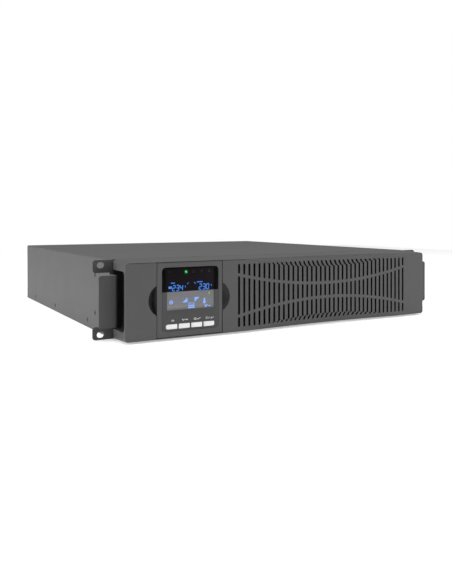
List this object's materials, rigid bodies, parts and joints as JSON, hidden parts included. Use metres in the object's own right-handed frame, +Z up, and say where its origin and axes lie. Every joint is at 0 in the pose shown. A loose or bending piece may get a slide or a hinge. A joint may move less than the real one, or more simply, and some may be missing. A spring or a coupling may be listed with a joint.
{
  "type": "uninterruptible power supply",
  "caption": "Flat two-unit rack-mount battery backup unit: steel case, rack ears with handles, plastic bezel with an arched slotted grille, square display module and rear power sockets.",
  "frame": {"origin": "middle of the bounding box's footprint, on the surface that the case stands on", "axes": "+Z up, -Y the front with the display and grille, +X to the right when facing the front"},
  "size_m": [0.4826, 0.4778, 0.088],
  "materials": {
    "case_paint": "fine-grained dark grey powder coat",
    "inner_steel": "black-coated inner sheet",
    "ear_paint": "dark grey powder coat",
    "bezel_plastic": "fine-textured dark grey moulding",
    "overlay": "black gloss window over a grey printed border",
    "lcd": "dark display panel with lit segments",
    "white_key": "white satin key",
    "circuit_board": "green solder mask",
    "black_plastic": "black moulding",
    "green_plastic": "green terminal block",
    "battery_case": "dark grey battery case",
    "aluminium": "extruded fins",
    "zinc": "bright zinc",
    "black_screw": "blackened screw",
    "laminations": "varnished steel laminations",
    "copper": "enamelled winding",
    "capacitor": "shrink sleeve"
  },
  "bodies": {
    "chassis": {"top_cover": "case_paint", "base_tray": "case_paint", "front_bulkhead": "inner_steel", "divider_wall": "inner_steel", "rear_panel": "case_paint", "rack_ear_left": "ear_paint", "rack_ear_right": "ear_paint", "battery_tray": "inner_steel", "battery_door": "inner_steel", "battery_clamp": "inner_steel", "battery_1": "battery_case", "battery_2": "battery_case", "battery_3": "battery_case", "battery_4": "battery_case", "main_board": "circuit_board", "control_board": "circuit_board", "heatsink_left": "aluminium", "heatsink_right": "aluminium", "capacitor_1": "capacitor", "capacitor_2": "capacitor", "filter_choke": "copper", "transformer": "laminations", "fan_frame_1": "black_plastic", "fan_frame_2": "black_plastic", "fan_guard_1": "zinc", "fan_guard_2": "zinc", "mains_inlet": "black_plastic", "outlet_bank_1": "black_plastic", "outlet_bank_2": "black_plastic", "battery_pack_socket": "black_plastic", "breaker_body": "black_plastic", "card_slot_cover": "case_paint", "thumb_screw_left": "zinc", "thumb_screw_right": "zinc", "usb_port": "zinc", "serial_port": "zinc", "stop_terminal": "green_plastic", "cover_screw_left_1": "black_screw", "cover_screw_left_2": "black_screw", "cover_screw_left_3": "black_screw", "ear_screw_left_1": "black_screw", "ear_screw_left_2": "black_screw", "cover_screw_right_1": "black_screw", "cover_screw_right_2": "black_screw", "cover_screw_right_3": "black_screw", "ear_screw_right_1": "black_screw", "ear_screw_right_2": "black_screw"},
    "bezel": {"front_bezel": "bezel_plastic"},
    "display_module": {"display_housing": "bezel_plastic", "display_overlay": "overlay", "lcd_panel": "lcd", "display_board": "circuit_board"},
    "key_up": {"button_up": "white_key"},
    "key_down": {"button_down": "white_key"},
    "key_select": {"button_select": "white_key"},
    "key_power": {"button_power": "white_key"},
    "fan_1": {"fan_rotor_1": "black_plastic"},
    "fan_2": {"fan_rotor_2": "black_plastic"},
    "reset_button": {"breaker_button": "black_plastic"}
  },
  "joints": [
    {"name": "bezel_pull", "type": "slide", "parent": "chassis", "child": "bezel", "axis": [0, -1, 0], "range_m": [0, 0.03]},
    {"name": "display_pull", "type": "slide", "parent": "bezel", "child": "display_module", "axis": [0, -1, 0], "range_m": [0, 0.012]},
    {"name": "up_press", "type": "slide", "parent": "display_module", "child": "key_up", "axis": [0, 1, 0], "range_m": [0, 0.0008], "stiffness_N_per_m": 600},
    {"name": "down_press", "type": "slide", "parent": "display_module", "child": "key_down", "axis": [0, 1, 0], "range_m": [0, 0.0008], "stiffness_N_per_m": 600},
    {"name": "select_press", "type": "slide", "parent": "display_module", "child": "key_select", "axis": [0, 1, 0], "range_m": [0, 0.0008], "stiffness_N_per_m": 600},
    {"name": "power_press", "type": "slide", "parent": "display_module", "child": "key_power", "axis": [0, 1, 0], "range_m": [0, 0.0008], "stiffness_N_per_m": 600},
    {"name": "fan_1_spin", "type": "hinge", "parent": "chassis", "child": "fan_1", "pos_m": [-0.168, 0.21525, 0.044], "axis": [0, 1, 0], "continuous": true},
    {"name": "fan_2_spin", "type": "hinge", "parent": "chassis", "child": "fan_2", "pos_m": [-0.084, 0.21525, 0.044], "axis": [0, 1, 0], "continuous": true},
    {"name": "breaker_reset", "type": "slide", "parent": "chassis", "child": "reset_button", "axis": [0, -1, 0], "range_m": [0, 0.003], "stiffness_N_per_m": 800}
  ]
}
